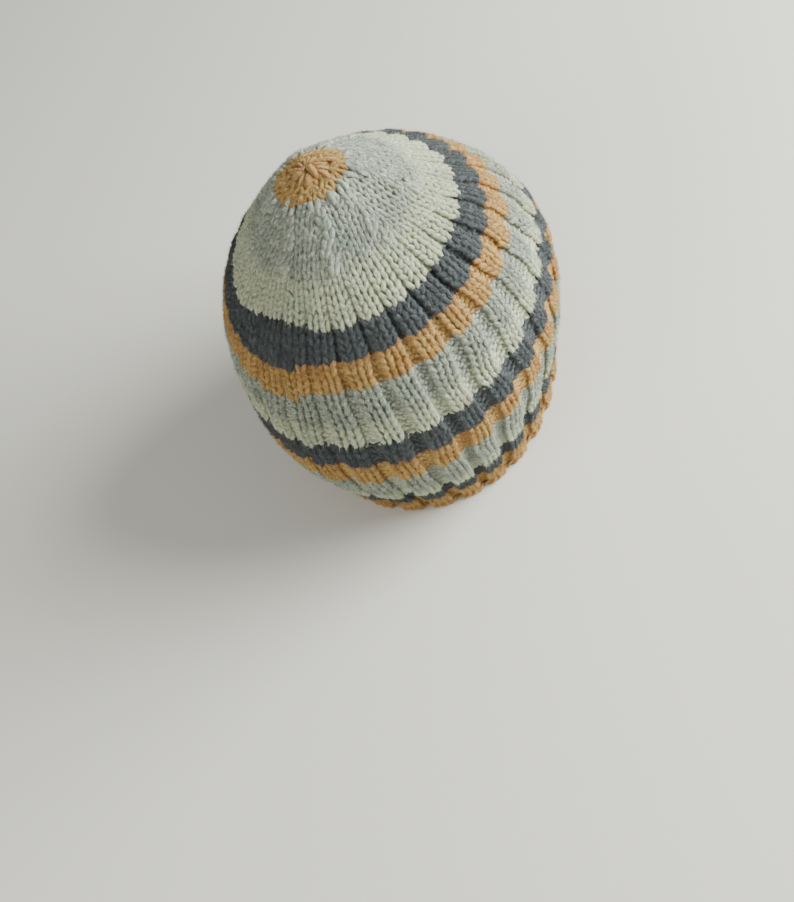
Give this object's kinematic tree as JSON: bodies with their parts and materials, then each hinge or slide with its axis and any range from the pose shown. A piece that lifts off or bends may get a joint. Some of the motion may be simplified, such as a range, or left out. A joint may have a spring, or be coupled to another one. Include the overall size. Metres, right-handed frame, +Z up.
{
  "type": "knit nightcap",
  "caption": "Striped cap in two-by-two ribbed wool knit, oval at the open rim for the head and closed in a plain gathered crown with a small coloured tip.",
  "frame": {"origin": "centre of the rim's oval, on the plane the rim stands on", "axes": "+Z up from the rim to the tip, -Y towards the cap's front at one end of the oval's long way"},
  "size_m": [0.1632, 0.199, 0.177],
  "materials": {
    "cream_wool": "brushed wool yarn, matt, knitted in rib, pale grey shading to cream",
    "slate_wool": "brushed wool yarn, matt, knitted in rib, heathered blue grey",
    "orange_wool": "brushed wool yarn, matt, knitted in rib, soft golden orange"
  },
  "bodies": {
    "root": {"knitted_cap": "cream_wool"}
  },
  "joints": []
}
